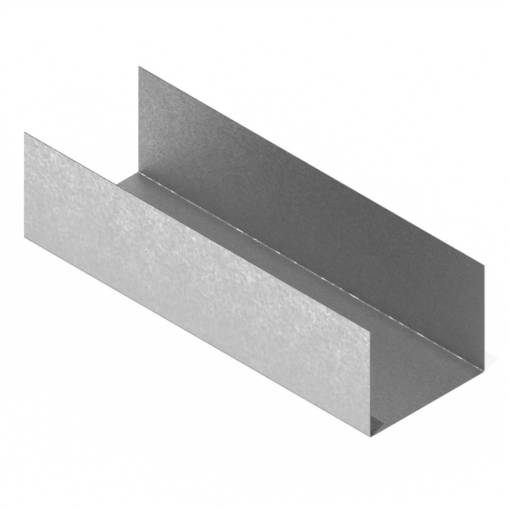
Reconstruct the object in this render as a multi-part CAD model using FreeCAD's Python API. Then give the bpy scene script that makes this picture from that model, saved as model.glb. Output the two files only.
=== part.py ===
# Drywall floor track: one cut piece of cold-rolled steel channel, lying web down as it is
# fixed to a floor, with its two flanges standing up to take the feet of the wall studs.
# The frame: X runs along the track, Y across it and Z up. The origin is the middle of the
# web's underside.

import FreeCAD, Part
import math
import os

# Driving dimensions, in millimetres

LENGTH = 150.0  # of this piece, from one square cut end to the other
WEB_WIDTH = 50.0  # over the outer faces of the two flanges
FLANGE_HEIGHT = 40.0  # from the web's underside to the flanges' free edges
SHEET = 0.4  # thickness of the galvanised strip that the whole channel is rolled from
BEND_RADIUS = 0.5  # inside radius of the two bends


# The section

def at(y, z):
    """A point of the section, which lies in the plane of the track's first cut end."""
    return FreeCAD.Vector(-LENGTH / 2, y, z)


def line(start, end):
    return Part.LineSegment(start, end).toShape()


def bend(side, face_y, face_z, radius):
    """The quarter circle that takes one face of the sheet from the web up into a flange. side is
    -1 or 1 across the track, and face_y and face_z are where the flange and the web would meet."""
    middle = radius * (1 - math.sqrt(0.5))
    foot = at(side * (face_y - radius), face_z)
    turn = at(side * (face_y - middle), face_z + middle)
    wall = at(side * face_y, face_z + radius)
    return Part.Arc(foot, turn, wall).toShape()


def sheet_face(face_y, face_z, radius):
    """One face of the bent sheet, as an open U: two flanges, two bends and the web."""
    run = [line(at(radius - face_y, face_z), at(face_y - radius, face_z))]
    for side in (-1, 1):
        run.append(bend(side, face_y, face_z, radius))
        run.append(line(at(side * face_y, face_z + radius), at(side * face_y, FLANGE_HEIGHT)))
    return run


def section():
    """The sheet cut across: its outer face, its inner face and the two free edges that close them."""
    outer_y = WEB_WIDTH / 2
    inner_y = outer_y - SHEET
    edges = sheet_face(outer_y, 0, BEND_RADIUS + SHEET) + sheet_face(inner_y, SHEET, BEND_RADIUS)
    for side in (-1, 1):
        edges.append(line(at(side * outer_y, FLANGE_HEIGHT), at(side * inner_y, FLANGE_HEIGHT)))
    return Part.Face(Part.Wire(Part.sortEdges(edges)[0]))


# The track

def floor_track():
    """The section drawn out along the track, as the rolls do."""
    return section().extrude(FreeCAD.Vector(LENGTH, 0, 0))


os.makedirs("parts", exist_ok=True)
floor_track().exportStep("parts/floor_track.step")
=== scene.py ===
# %% [markdown]
# # A drywall floor track
# A floor track is the steel channel that a partition wall starts from. It is fixed to the floor with its
# web down, and the feet of the studs stand between its flanges. A mill rolls it from one strip of
# galvanised sheet, so the whole object is one piece, with two bends and a cut edge all round. The solid
# model gives the sizes and the place. This lesson gives the track its look.

# %% Load the solid model as a fixed frame
import math

import bmesh
import bpy
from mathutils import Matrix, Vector


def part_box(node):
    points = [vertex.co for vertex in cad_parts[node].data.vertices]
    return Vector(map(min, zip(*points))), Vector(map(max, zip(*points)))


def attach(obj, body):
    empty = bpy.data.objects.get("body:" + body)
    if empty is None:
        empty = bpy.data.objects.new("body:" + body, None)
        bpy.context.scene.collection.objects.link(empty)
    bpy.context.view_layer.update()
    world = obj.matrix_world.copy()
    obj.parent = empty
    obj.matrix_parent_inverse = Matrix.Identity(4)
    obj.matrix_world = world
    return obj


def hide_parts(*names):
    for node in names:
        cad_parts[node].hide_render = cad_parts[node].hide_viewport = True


MM_PER_M = 1000

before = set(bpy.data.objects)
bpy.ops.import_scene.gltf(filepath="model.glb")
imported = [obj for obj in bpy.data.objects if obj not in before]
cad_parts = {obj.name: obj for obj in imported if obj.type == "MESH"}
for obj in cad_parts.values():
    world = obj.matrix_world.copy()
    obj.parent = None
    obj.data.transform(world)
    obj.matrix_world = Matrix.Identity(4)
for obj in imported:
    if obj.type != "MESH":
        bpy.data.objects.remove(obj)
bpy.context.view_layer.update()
low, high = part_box("floor_track")
length, width, height = high - low
print("track, in mm:", [round(MM_PER_M * size, 2) for size in (length, width, height)])

# %% [markdown]
# ## The camera
# The photograph is an isometric view: its lines stay parallel, and a millimetre is as long along the track
# as across it and up. A perspective lens would make the far end smaller, so the camera is orthographic. It
# looks down a cube's diagonal, and its scale comes from one measured number: how many pixels a metre takes
# along any of the three axes.

# %% Where the camera looks from
PICTURE_PX = 510
AXIS_PX_PER_M = 2661.5
TRACK_CENTRE_PX = Vector((254.4, 252.0))
AZIMUTH = math.radians(45)
ELEVATION = math.atan(math.sqrt(1 / 2))
ISOMETRIC_SHORTENING = math.sqrt(2 / 3)

metres_per_px = ISOMETRIC_SHORTENING / AXIS_PX_PER_M
towards_camera = Vector((
    math.sin(AZIMUTH) * math.cos(ELEVATION),
    -math.cos(AZIMUTH) * math.cos(ELEVATION),
    math.sin(ELEVATION),
))
turn = (-towards_camera).to_track_quat("-Z", "Y")
right, up = turn @ Vector((1, 0, 0)), turn @ Vector((0, 1, 0))
off_centre = Vector((PICTURE_PX / 2, PICTURE_PX / 2)) - TRACK_CENTRE_PX
aim = (low + high) / 2 + (right * off_centre.x - up * off_centre.y) * metres_per_px
print("the camera looks at, in mm:", [round(MM_PER_M * c, 1) for c in aim])

# %% The camera itself
CAMERA_DISTANCE = 0.6

bpy.ops.object.camera_add(location=aim + towards_camera * CAMERA_DISTANCE, rotation=turn.to_euler())
camera = bpy.context.object
camera.data.type = "ORTHO"
camera.data.ortho_scale = PICTURE_PX * metres_per_px
bpy.context.scene.camera = camera
print("the picture is", round(MM_PER_M * camera.data.ortho_scale, 1), "mm wide")

# %% [markdown]
# ## Nodes from code
# Every finish below is a small tree of nodes. Each node takes several lines to add, set and link, and a
# whole finish would fill pages. So one helper adds a node, sets its options, and fills its inputs: a socket
# is linked, and anything else is set as a plain value. Short helpers for sums and for stretching a range
# keep the trees readable, as frames and labels would in the node editor.

# %% Helpers for node trees
def empty_tree(owner):
    """Turns nodes on, deletes those that Blender starts with, and returns the tree."""
    owner.use_nodes = True
    owner.node_tree.nodes.clear()
    return owner.node_tree


def node(tree, kind, inputs=None, **options):
    """Adds a node, sets its options, and links or sets its inputs."""
    made = tree.nodes.new(kind)
    for name, value in options.items():
        setattr(made, name, value)
    for name, value in (inputs or {}).items():
        if isinstance(value, bpy.types.NodeSocket):
            tree.links.new(value, made.inputs[name])
        else:
            made.inputs[name].default_value = value
    return made


def calc(tree, operation, *values):
    """One sum, as a Math node."""
    return node(tree, "ShaderNodeMath", dict(enumerate(values)), operation=operation).outputs[0]


def vector_calc(tree, operation, *values):
    """One sum with vectors. A dot product gives a number, and the others give a vector."""
    made = node(tree, "ShaderNodeVectorMath", dict(enumerate(values)), operation=operation)
    return made.outputs["Value" if operation == "DOT_PRODUCT" else "Vector"]


def spread(tree, value, low, high, to_low=0.0, to_high=1.0, kind="LINEAR"):
    """Stretches the range from low to high over the range from to_low to to_high, and stops at its ends."""
    return node(tree, "ShaderNodeMapRange", {
        "Value": value, "From Min": low, "From Max": high, "To Min": to_low, "To Max": to_high,
    }, interpolation_type=kind).outputs[0]


print("node helpers ready")

# %% [markdown]
# ## The floor
# The photograph has a plain white ground with no edge. Brighter lamps would make any floor white, but they
# would bleach the metal too. So the floor is a wide plane that is white only to the rays that look at it,
# the camera's and the reflections in the metal. A small share of it still takes light, which keeps the
# track's shadow, and to all other rays it is pale paint.

# %% A wide plane under the track
FLOOR_SIDE = 6.0
FLOOR_GAP = 0.00002

bpy.ops.mesh.primitive_plane_add(size=FLOOR_SIDE, location=(0, 0, low.z - FLOOR_GAP))
floor = bpy.context.object
floor.name = "floor"
print("floor:", FLOOR_SIDE, "m wide")

# %% White to those who look, pale paint to the rest
WHITE = (1, 1, 1, 1)
WHITE_STRENGTH = 1.0
FLOOR_PAINT = (0.8, 0.8, 0.8, 1)
SHADOW_SHARE = 0.15


def sees_background(tree):
    """1 for the camera and for what shows in metal or glass, and 0 for light that is only scattered."""
    path = node(tree, "ShaderNodeLightPath").outputs
    seen = calc(tree, "MAXIMUM", path["Is Camera Ray"], path["Is Glossy Ray"])
    return calc(tree, "MAXIMUM", seen, path["Is Transmission Ray"])


floor_finish = bpy.data.materials.new("pale_floor")
tree = empty_tree(floor_finish)
paint = node(tree, "ShaderNodeBsdfDiffuse", {"Color": FLOOR_PAINT})
shaded = node(tree, "ShaderNodeBsdfDiffuse", {"Color": WHITE})
glow = node(tree, "ShaderNodeEmission", {"Color": WHITE, "Strength": WHITE_STRENGTH})
ground = node(tree, "ShaderNodeMixShader", {0: SHADOW_SHARE, 1: glow.outputs[0], 2: shaded.outputs[0]})
looked_at = sees_background(tree)
either = node(tree, "ShaderNodeMixShader", {0: looked_at, 1: paint.outputs[0], 2: ground.outputs[0]})
node(tree, "ShaderNodeOutputMaterial", {"Surface": either.outputs[0]})
floor_finish.cycles.emission_sampling = "NONE"
floor.data.materials.append(floor_finish)
print("floor finish:", floor_finish.name)

# %% [markdown]
# ## The room round the track
# Bare metal shows what stands round it. In an even white dome all three faces would be the same grey, but
# in the photograph the near flange is pale and the inside is dark, except at its far left end. So the
# reflections see a photographer's room: a dark ceiling, and a white wall all round that stands tallest at
# the back left, where it shows in that end. Heights in the room are measured along an axis that leans,
# which tilts the wall's top edge. To the camera the room is plain white, and matt things are lit by a plain
# dome.

# %% Dome and wall
DOME_STRENGTH = 0.5
WALL_LEANS = (0.36, -0.36, 1)
WALL_TOP = 0.203
WALL_FADE = 0.03

world = bpy.data.worlds.new("studio")
bpy.context.scene.world = world
tree = empty_tree(world)
dome = node(tree, "ShaderNodeBackground", {"Color": WHITE, "Strength": DOME_STRENGTH})
direction = node(tree, "ShaderNodeTexCoord").outputs["Generated"]
climb = vector_calc(tree, "DOT_PRODUCT", direction, WALL_LEANS)
wall = spread(tree, climb, WALL_TOP + WALL_FADE, WALL_TOP - WALL_FADE)
print("dome:", DOME_STRENGTH, "of white, and a wall round the track")

# %% [markdown]
# ## Panel, strip light and window
# A soft round panel hangs over the wall. The web shows it wherever the far flange doesn't hide it, and so
# the web grows paler towards the near side. A bend shows a light as a thin bright line, which is as wide as
# the light is long across the bend. A big window to the front left would give the far bend its line, but it
# would pale the web too. A strip light that is long across the bend and narrow along the track gives the
# line alone. For the near bend, which shows only from behind, a plain window on the right will do.

# %% Three lights in the room
PANEL_FROM, PANEL_RADIUS = Vector((-0.395, 0.395, 0.829)), math.radians(11)
WINDOW_FROM, WINDOW_RADIUS = Vector((0.68, 0.09, 0.72)), math.radians(16)
STRIP_FROM, STRIP_RADIUS = Vector((-0.577, -0.42, 0.7)), math.radians(22)
DISC_FADE = math.radians(2)
STRIP_HALF, STRIP_FADE = 0.06, 0.01


def disc(middle, radius):
    """1 in the directions round the middle, up to the radius, and 0 in all others."""
    facing = vector_calc(tree, "DOT_PRODUCT", direction, middle.normalized())
    return spread(tree, facing, math.cos(radius + DISC_FADE), math.cos(radius - DISC_FADE))


panel = disc(PANEL_FROM, PANEL_RADIUS)
window = disc(WINDOW_FROM, WINDOW_RADIUS)
lengthways = node(tree, "ShaderNodeSeparateXYZ", {0: direction}).outputs["X"]
off_strip = calc(tree, "ABSOLUTE", calc(tree, "SUBTRACT", lengthways, STRIP_FROM.normalized().x))
narrow = spread(tree, off_strip, STRIP_HALF + STRIP_FADE, STRIP_HALF - STRIP_FADE)
strip = calc(tree, "MULTIPLY", disc(STRIP_FROM, STRIP_RADIUS), narrow)
print("strip light:", round(2 * math.degrees(STRIP_RADIUS)), "degrees long")

# %% The whole room
to_camera = node(tree, "ShaderNodeLightPath").outputs["Is Camera Ray"]
white = wall
for light in (panel, window, strip, to_camera):
    white = calc(tree, "MAXIMUM", white, light)
room = node(tree, "ShaderNodeBackground", {"Color": white, "Strength": WHITE_STRENGTH})
looked_at = sees_background(tree)
either = node(tree, "ShaderNodeMixShader", {0: looked_at, 1: dome.outputs[0], 2: room.outputs[0]})
node(tree, "ShaderNodeOutputWorld", {"Surface": either.outputs[0]})
print("nodes in the room:", len(tree.nodes))

# %% [markdown]
# ## The lamp
# At the foot of the near flange the photograph has one small sharp shadow. A large lamp would blur it away,
# so a sun lamp stands almost overhead. Its direction was worked out from the tip of that shadow.

# %% One lamp, almost overhead
LAMP_STRENGTH = 1.58
LAMP_ANGLE = math.radians(0.8)
LIGHT_TRAVELS = Vector((-0.046, 0.2, -1.0))

bpy.ops.object.light_add(type="SUN", rotation=LIGHT_TRAVELS.to_track_quat("-Z", "Y").to_euler())
lamp = bpy.context.object
lamp.data.energy = LAMP_STRENGTH
lamp.data.angle = LAMP_ANGLE
bpy.context.scene.view_settings.view_transform = "Standard"
print("light on a level face:", round(DOME_STRENGTH + LAMP_STRENGTH / math.pi, 2))

# %% [markdown]
# ## The web
# The track could be a block with its middle cut out, but a mill rolls it from flat strip, and the quickest
# clean mesh follows the mill: lay the web down as one flat face, pull its long edges up into flanges, round
# the two folds, and only then give the sheet its thickness. That keeps the inside and the outside of each
# bend on one centre, with the same wall all the way round.

# %% A flat face on the floor
bpy.ops.object.select_all(action="DESELECT")
bpy.ops.mesh.primitive_plane_add(size=1, location=(0, 0, low.z))
track = bpy.context.object
track.name = track.data.name = "rolled_track"
bpy.ops.object.mode_set(mode="EDIT")
bpy.ops.transform.resize(value=(length, width, 1), center_override=(0, 0, low.z))
print("web laid down:", track.name)

# %% [markdown]
# ## The flanges
# Two more planes would make the flanges, but they would have to be joined to the web. Extruding both long
# edges straight up, in one step, makes them the same height and keeps the sheet in one piece. The edges are
# picked by their direction, which still works when the track's length or width changes.

# %% Pull up the long edges
def select_edges(test):
    """Selects the edges whose two ends pass the test, and nothing else."""
    bpy.ops.mesh.select_mode(type="EDGE")
    bpy.ops.mesh.select_all(action="DESELECT")
    shape = bmesh.from_edit_mesh(track.data)
    for edge in shape.edges:
        edge.select_set(test(*(end.co for end in edge.verts)))
    bmesh.update_edit_mesh(track.data)
    return sum(edge.select for edge in shape.edges)


def along_the_track(a, b):
    return abs(a.x - b.x) > length / 2


long_edges = select_edges(along_the_track)
bpy.ops.mesh.extrude_region_move(TRANSFORM_OT_translate={"value": (0, 0, height)})
print("long edges pulled up:", long_edges)

# %% [markdown]
# ## The bends
# Rolls fold the strip round a small radius, never to a sharp corner. A bevel on the two folds makes that
# arc: at a right angle its offset is the arc's own radius. The face drawn so far is the outside of the
# sheet, so the radius is the inside bend plus the sheet.

# %% Round the folds
SHEET = 0.0004
INSIDE_RADIUS = 0.0005
OUTSIDE_RADIUS = INSIDE_RADIUS + SHEET
BEND_STEPS = 12
ROUND_PROFILE = 0.5
CLOSE = 1e-6


def at_a_fold(a, b):
    return along_the_track(a, b) and max(a.z, b.z) < low.z + CLOSE


folds = select_edges(at_a_fold)
bpy.ops.mesh.bevel(offset=OUTSIDE_RADIUS, segments=BEND_STEPS, profile=ROUND_PROFILE, affect="EDGES")
print("folds rounded:", folds)

# %% [markdown]
# ## Which side is out
# The next step thickens the sheet away from its normals, so they have to point out of the channel. On an
# open sheet, Blender can make them agree but can't know which side is out. The web decides: its normal has
# to look down at the floor.

# %% Turn the normals out
bpy.ops.mesh.select_all(action="SELECT")
bpy.ops.mesh.normals_make_consistent(inside=False)
web = max(bmesh.from_edit_mesh(track.data).faces, key=lambda face: face.calc_area() * abs(face.normal.z))
web_looked_up = web.normal.z > 0
if web_looked_up:
    bpy.ops.mesh.flip_normals()
bpy.ops.object.mode_set(mode="OBJECT")
print("faces:", len(track.data.polygons), "turned round:", web_looked_up)

# %% [markdown]
# ## The sheet's thickness
# The inner face could be copied and joined by hand, edge by edge. Solidify adds it in one step, with the
# narrow rim between the two. Its material offsets number the sides on the way: 0 outside, 1 inside, 2 on
# the cut edges, so each can have its own finish. Even thickness keeps the wall the same in the bends.

# %% Thicken the sheet inwards
def add_modifier(kind, **settings):
    """Adds a modifier to the track, sets it and applies it."""
    bpy.ops.object.modifier_add(type=kind)
    made = track.modifiers[-1]
    for name, value in settings.items():
        setattr(made, name, value)
    bpy.ops.object.modifier_apply(modifier=made.name)


SIDES = ("outside", "inside", "cut edges")
for side in SIDES:
    bpy.ops.object.material_slot_add()
add_modifier(
    "SOLIDIFY", thickness=SHEET, offset=-1, use_even_offset=True,
    material_offset=SIDES.index("inside"), material_offset_rim=SIDES.index("cut edges"),
)
for slot, side in enumerate(SIDES):
    print(side, "has", sum(face.material_index == slot for face in track.data.polygons), "faces")

# %% [markdown]
# ## Eased rims
# Shears leave a corner that is sharp to the finger, but no real corner is a line without width, and a tiny
# round catches the light. A bevel limited by angle eases the rims and leaves the bends alone. Weighted
# normals then keep the wide faces flat in the shading, right up to the round.

# %% Ease the rims and smooth the shading
RIM_EASE = 0.00005
RIM_STEPS = 2
RIM_TURN = math.radians(60)

bpy.ops.object.shade_smooth()
add_modifier("BEVEL", width=RIM_EASE, segments=RIM_STEPS, limit_method="ANGLE", angle_limit=RIM_TURN)
add_modifier("WEIGHTED_NORMAL", keep_sharp=False)
print("faces with eased rims:", len(track.data.polygons))

# %% [markdown]
# ## Zinc crystals
# Hot-dip zinc freezes on the strip as a skin of crystals about a millimetre across. Each lies its own way,
# so it is a little paler or darker than its neighbours and leans a little. A picture could show that, but
# it would blur close up and repeat. Voronoi cells give every crystal its shade, and a slope across each
# cell gives it a facet. A noise bends the cells first, because frozen crystals have no straight sides. Both
# sides of the sheet use the skin, so it is a node group with named sockets.

# %% Helpers for groups and noise
FLOAT, VECTOR = "NodeSocketFloat", "NodeSocketVector"
SMOOTH, UNEVEN, RAGGED = 1.0, 2.0, 4.0


def group(name, inputs, outputs):
    """Makes a node group with named sockets, and returns its tree, what it is given and what it gives."""
    tree = bpy.data.node_groups.new(name, "ShaderNodeTree")
    for way, sockets in (("INPUT", inputs), ("OUTPUT", outputs)):
        for socket, kind in sockets:
            tree.interface.new_socket(socket, in_out=way, socket_type=kind)
    return tree, node(tree, "NodeGroupInput").outputs, node(tree, "NodeGroupOutput").inputs


def noise(tree, place, scale, detail):
    """Soft clouds, from smooth to ragged by their detail."""
    return node(tree, "ShaderNodeTexNoise", {"Vector": place, "Scale": scale, "Detail": detail}).outputs


print("noise details:", SMOOTH, UNEVEN, RAGGED)

# %% The skin's group: crystals and facets
WAVES_PER_CRYSTAL = 0.7
CELL_BEND = (1.6, 1.6, 1.6)
MIDDLE_COLOUR = (0.5, 0.5, 0.5)

zinc, given, gives = group(
    "zinc_skin",
    [("Position", VECTOR), ("Crystal Size", FLOAT)],
    [(name, FLOAT) for name in ("Crystals", "Facets", "Flecks", "Grain")],
)
per_crystal = calc(zinc, "DIVIDE", 1.0, given["Crystal Size"])
place = vector_calc(zinc, "MULTIPLY", given["Position"], per_crystal)
waves = noise(zinc, place, WAVES_PER_CRYSTAL, SMOOTH)["Color"]
bent = vector_calc(zinc, "MULTIPLY_ADD", waves, CELL_BEND, place)
cells = node(zinc, "ShaderNodeTexVoronoi", {"Vector": bent, "Scale": 1.0}).outputs
zinc.links.new(node(zinc, "ShaderNodeSeparateColor", {0: cells["Color"]}).outputs[0], gives["Crystals"])
from_middle = vector_calc(zinc, "SUBTRACT", bent, cells["Position"])
lean = vector_calc(zinc, "SUBTRACT", cells["Color"], MIDDLE_COLOUR)
zinc.links.new(vector_calc(zinc, "DOT_PRODUCT", from_middle, lean), gives["Facets"])
print("zinc skin:", [socket.name for socket in gives if socket.name])

# %% [markdown]
# ## Flecks and grain
# Here and there a few crystals face the light together and show as pale flecks, more of them in one place
# than in another. A bent noise draws the flecks and a much wider one says where they crowd. Under them lies
# a fine grain, left by the rolls that flatten the skin.

# %% The skin's group: flecks and grain
FLECKS_PER_CRYSTAL, FLECKS_FROM, FLECKS_FULL = 0.9, 0.42, 0.74
CROWDS_PER_CRYSTAL, CROWDS_FROM, CROWDS_FULL = 0.13, 0.25, 0.65
GRAINS_PER_CRYSTAL, GRAIN_FROM, GRAIN_FULL = 2.2, 0.25, 0.75

patches = noise(zinc, bent, FLECKS_PER_CRYSTAL, SMOOTH)["Fac"]
flecks = spread(zinc, patches, FLECKS_FROM, FLECKS_FULL, kind="SMOOTHSTEP")
crowds = noise(zinc, place, CROWDS_PER_CRYSTAL, UNEVEN)["Fac"]
crowding = spread(zinc, crowds, CROWDS_FROM, CROWDS_FULL)
zinc.links.new(calc(zinc, "MULTIPLY", flecks, crowding), gives["Flecks"])
specks = noise(zinc, place, GRAINS_PER_CRYSTAL, SMOOTH)["Fac"]
zinc.links.new(spread(zinc, specks, GRAIN_FROM, GRAIN_FULL), gives["Grain"])
print("nodes in the skin:", len(zinc.nodes))

# %% [markdown]
# ## Finding the bends
# A tight bend changes the zinc, and the cut edges show what lies under it. Both finishes need to know where
# they are in the sheet. Painted masks would have to be redone for every new length, so a second group works
# it out from the position. Seen from the end, each bend is a quarter circle: the angle round its centre
# says how far the bend has gone, and the distance from its centre says how deep a point lies in the sheet.

# %% The bends' group: angle and depth
QUARTER_TURN = math.pi / 2
ARC_SOFTEN = math.radians(5)

bends, given, gives = group(
    "bend_finder",
    [("Position", VECTOR)],
    [(name, FLOAT) for name in ("Bend", "Depth", "Bend Shade", "Pressed Highlight")],
)
axes = node(bends, "ShaderNodeSeparateXYZ", {0: given["Position"]}).outputs
beyond = calc(bends, "SUBTRACT", calc(bends, "ABSOLUTE", axes["Y"]), width / 2 - OUTSIDE_RADIUS)
below = calc(bends, "SUBTRACT", low.z + OUTSIDE_RADIUS, axes["Z"])
angle = calc(bends, "ARCTAN2", beyond, below)
begun = spread(bends, angle, -ARC_SOFTEN, ARC_SOFTEN)
not_done = spread(bends, angle, QUARTER_TURN + ARC_SOFTEN, QUARTER_TURN - ARC_SOFTEN)
bends.links.new(calc(bends, "MULTIPLY", begun, not_done), gives["Bend"])
squares = [calc(bends, "POWER", calc(bends, "MAXIMUM", way, 0.0), 2.0) for way in (beyond, below)]
from_centre = calc(bends, "SQRT", calc(bends, "ADD", *squares))
bends.links.new(spread(bends, from_centre, OUTSIDE_RADIUS, OUTSIDE_RADIUS - SHEET), gives["Depth"])
print("bends start", round(MM_PER_M * OUTSIDE_RADIUS, 2), "mm from the outside faces")

# %% [markdown]
# ## Shade beside the bends
# Beside each bend the web is painted a little darker: painted shade, as in a fold. The mask is strongest at
# the bend and fades out over a few millimetres of the web. The flanges don't have it.

# %% The bends' group: the painted shade band
BAND_WIDTH = 0.005

near = spread(bends, beyond, -BAND_WIDTH, 0.0, kind="SMOOTHSTEP")
on_the_web = spread(bends, below, 0.0, INSIDE_RADIUS)
bends.links.new(calc(bends, "MULTIPLY", near, on_the_web), gives["Bend Shade"])
print("rubbed band:", round(MM_PER_M * BAND_WIDTH, 1), "mm wide")

# %% [markdown]
# ## The pressed line and its painted highlight
# Inside each bend the forming roll presses the zinc flat and smooth along a hair-thin line, which shines in
# broken dashes. Its colour is also painted much paler there, as a painted highlight. Dashes cut into the
# mesh would need faces finer than the sheet. A mask is enough: the line is a narrow part of the angle, and
# a noise that changes only along the track breaks it up.

# %% The bends' group: the broken line
LINE_AT = math.radians(38)
LINE_HALF = math.radians(14)
LINE_FADE = math.radians(5)
DASHES_PER_M = 240.0
DASHES_FROM, DASHES_FULL = 0.41, 0.58

off_line = calc(bends, "ABSOLUTE", calc(bends, "SUBTRACT", angle, LINE_AT))
on_line = spread(bends, off_line, LINE_HALF + LINE_FADE, LINE_HALF)
which_bend = calc(bends, "SIGN", axes["Y"])
along_bend = node(bends, "ShaderNodeCombineXYZ", {"X": axes["X"], "Y": which_bend}).outputs[0]
breaks = noise(bends, along_bend, DASHES_PER_M, RAGGED)["Fac"]
dashes = spread(bends, breaks, DASHES_FROM, DASHES_FULL)
bends.links.new(calc(bends, "MULTIPLY", on_line, dashes), gives["Pressed Highlight"])
print("pressed line:", round(MM_PER_M * INSIDE_RADIUS * 2 * LINE_HALF, 2), "mm wide")

# %% [markdown]
# ## The zinc's tone
# The strip's two sides are the same zinc with other values, so one function makes the tone of both.
# Crystals, flecks and grain are added to a base tone one after the other, as layers would be. The crystals
# and flecks are strongest at the free edge and fade towards the floor, and the tone grows darker there.
# Both
# are painted light and shade: the foot of the flange shows the shaded floor close by.

# %% Tone, as a function of its values
# Painted shade: near the floor the tone is darkened to this share.
FLOOR_SHADE_TONE = 0.91


def around(tree, value, size):
    """Turns a value from 0 to 1 into a shift of half the size either way."""
    return spread(tree, value, 0.0, 1.0, -size / 2, size / 2)


def fade(tree, mask, start, end):
    """The start where the mask is 0, the end where it is 1, and a mix between."""
    return spread(tree, mask, 0.0, 1.0, start, end)


def zinc_tone(tree, skin, upper_light, pale, base, crystal, fleck, grain):
    tone = calc(tree, "MULTIPLY_ADD", around(tree, skin["Crystals"], base * crystal), upper_light, base)
    tone = calc(tree, "MULTIPLY_ADD", pale, base * fleck, tone)
    tone = calc(tree, "ADD", tone, around(tree, skin["Grain"], base * grain))
    # Painted shade: darker towards the floor.
    return calc(tree, "MULTIPLY", tone, fade(tree, upper_light, FLOOR_SHADE_TONE, 1.0))


print("fully rubbed zinc keeps", FLOOR_SHADE_TONE, "of its tone")

# %% [markdown]
# ## The zinc finish
# The facets go into a bump and not into the mesh: they are a few hundredths of a millimetre high, and
# modelled they would need millions of faces. On the outside the bend's whole arc is changed, on the inside
# the line. There the skin gets its own roughness and its facets are gone. Its tone is changed too: painted
# shade on the outside arc and a painted highlight on the inside line. The end of the tree, metal with a
# bump, is a function of its own, because the cut edges need it too.

# %% Metal with a relief
def bare_metal(tree, tone, dull, relief, strength, rise):
    """Ends a tree as metal, with its relief as a bump."""
    bump = node(tree, "ShaderNodeBump", {"Strength": strength, "Distance": rise, "Height": relief})
    metal = node(tree, "ShaderNodeBsdfPrincipled", {
        "Base Color": tone, "Metallic": 1.0, "Roughness": dull, "Normal": bump.outputs[0],
    })
    node(tree, "ShaderNodeOutputMaterial", {"Surface": metal.outputs[0]})


print("metal helper ready")

# %% Zinc, as a function of its values
ROUGHNESS = 0.62
FLECKS_SHINE = 0.14
SHADE_BELOW, LIGHT_ABOVE = 0.1, 0.95
GRAIN_RELIEF = 0.1
FACET_STRENGTH = 0.3
FACET_HEIGHT = 0.00035


def zinc_finish(name, size, darkened, bend_shade, line, line_painted_tone, line_roughness, **tones):
    finish = bpy.data.materials.new(name)
    tree = empty_tree(finish)
    place = node(tree, "ShaderNodeTexCoord").outputs["Object"]
    skin = node(tree, "ShaderNodeGroup", {"Position": place, "Crystal Size": size}, node_tree=zinc).outputs
    sheet = node(tree, "ShaderNodeGroup", {"Position": place}, node_tree=bends).outputs
    climb = node(tree, "ShaderNodeSeparateXYZ", {0: place}).outputs["Z"]
    # Painted light and shade by height: lively crystals and flecks near the free edge, calmer and darker
    # near the floor.
    upper_light = spread(tree, climb, low.z + SHADE_BELOW * height, low.z + LIGHT_ABOVE * height, darkened, 1.0)
    pale = calc(tree, "MULTIPLY", skin["Flecks"], upper_light)
    changed = sheet[line]

    tone = zinc_tone(tree, skin, upper_light, pale, **tones)
    # Painted shade on the web beside each bend.
    tone = calc(tree, "MULTIPLY", tone, fade(tree, sheet["Bend Shade"], 1.0, bend_shade))
    # Painted shade along the outside bend, and a painted highlight on the inside's pressed line.
    tone = calc(tree, "MULTIPLY", tone, fade(tree, changed, 1.0, line_painted_tone))
    dull = fade(tree, pale, ROUGHNESS, ROUGHNESS - FLECKS_SHINE)
    dull = calc(tree, "MULTIPLY_ADD", changed, line_roughness - ROUGHNESS, dull)
    relief = calc(tree, "MULTIPLY_ADD", skin["Grain"], GRAIN_RELIEF, skin["Facets"])
    relief = calc(tree, "MULTIPLY", relief, fade(tree, changed, 1.0, 0.0))
    bare_metal(tree, tone, dull, relief, FACET_STRENGTH, FACET_HEIGHT)
    print(name, "has", len(tree.nodes), "nodes")
    return finish


print("zinc's roughness:", ROUGHNESS, "and in the flecks:", round(ROUGHNESS - FLECKS_SHINE, 2))

# %% [markdown]
# ## Outside and inside
# Outside, the skin is pale and lively at the free edge and calm near the floor, which is painted light and
# shade. Along the bend it is rougher and painted darker, as painted shade. Inside, the base tone is painted
# darker, as the shade inside the channel. Its crystals are smaller and its grain is stronger, and along the
# bend it has the painted shade band and the pressed line with its painted highlight.

# %% The two sides' values
# Painted shade: outside, the bend's arc is painted darker where it turns towards the floor. It is also
# rougher.
track.material_slots[SIDES.index("outside")].material = zinc_finish(
    "zinc_outside", base=0.686, size=0.00105, crystal=0.185, fleck=0.22, grain=0.06, darkened=0.36,
    bend_shade=1.0, line="Bend", line_painted_tone=0.7, line_roughness=0.72,
)
# Painted shade: the inside's base tone is darker than the outside's, for the shade in the channel.
track.material_slots[SIDES.index("inside")].material = zinc_finish(
    "zinc_inside", base=0.487, size=0.00095, crystal=0.125, fleck=0.11, grain=0.36, darkened=0.8,
    bend_shade=0.78, line="Pressed Highlight", line_painted_tone=2.4, line_roughness=0.1,
)

# %% [markdown]
# ## The cut edges
# Shears cut the first third of the sheet clean and then tear the rest. So across its four tenths of a
# millimetre a cut edge has a smooth, brighter band of bare steel and a rough, darker one, with a hair of
# zinc on each side. Separate faces for the bands would be finer than anything else in the mesh. The bends'
# group already gives the depth in the sheet, which says what band a point is in, and a fine noise makes the
# border between them uneven.

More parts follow.
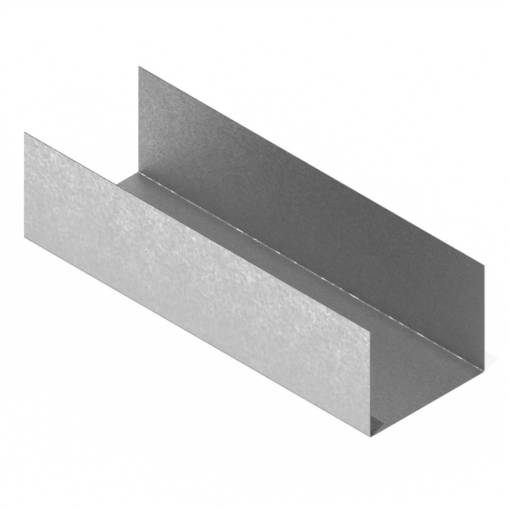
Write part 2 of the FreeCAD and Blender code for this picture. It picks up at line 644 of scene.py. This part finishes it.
# %% Sheared, torn or coated
SHEARED_SHARE, SHEARED_FADE = 0.35, 0.05
ZINC_SHARE, ZINC_FADE = 0.06, 0.02
BORDER_WANDERS = 0.4
SCARS_PER_M = 5000.0

cut = bpy.data.materials.new("cut_edge")
tree = empty_tree(cut)
place = node(tree, "ShaderNodeTexCoord").outputs["Object"]
depth = node(tree, "ShaderNodeGroup", {"Position": place}, node_tree=bends).outputs["Depth"]
scars = noise(tree, place, SCARS_PER_M, UNEVEN)["Fac"]
uneven = calc(tree, "ADD", depth, around(tree, scars, BORDER_WANDERS))
torn = spread(tree, uneven, SHEARED_SHARE - SHEARED_FADE, SHEARED_SHARE + SHEARED_FADE)
to_a_face = calc(tree, "MINIMUM", depth, calc(tree, "SUBTRACT", 1.0, depth))
coated = spread(tree, to_a_face, ZINC_SHARE + ZINC_FADE, ZINC_SHARE - ZINC_FADE)
sheet_mm = MM_PER_M * SHEET
print("cut edge, in mm:", round(sheet_mm * SHEARED_SHARE, 2), "sheared of", round(sheet_mm, 2))

# %% Bare steel
SHEARED_TONE, TORN_TONE, ZINC_TONE = 0.42, 0.29, 0.5
SHEARED_ROUGHNESS, TORN_ROUGHNESS = 0.4, 0.62
SCARS_FROM, SCARS_FULL = 0.3, 0.7
SCAR_TONES = (0.85, 1.15)
SCAR_STRENGTH = 0.3
SCAR_HEIGHT = 0.00002

tone = fade(tree, torn, SHEARED_TONE, TORN_TONE)
tone = calc(tree, "MULTIPLY", tone, spread(tree, scars, SCARS_FROM, SCARS_FULL, *SCAR_TONES))
tone = calc(tree, "MAXIMUM", tone, calc(tree, "MULTIPLY", coated, ZINC_TONE))
dull = fade(tree, torn, SHEARED_ROUGHNESS, TORN_ROUGHNESS)
relief = calc(tree, "MULTIPLY", scars, torn)
bare_metal(tree, tone, dull, relief, SCAR_STRENGTH, SCAR_HEIGHT)
track.material_slots[SIDES.index("cut edges")].material = cut
print(cut.name, "has", len(tree.nodes), "nodes")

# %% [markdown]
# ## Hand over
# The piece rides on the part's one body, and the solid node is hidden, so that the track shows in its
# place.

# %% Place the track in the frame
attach(track, "root")
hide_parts("floor_track")
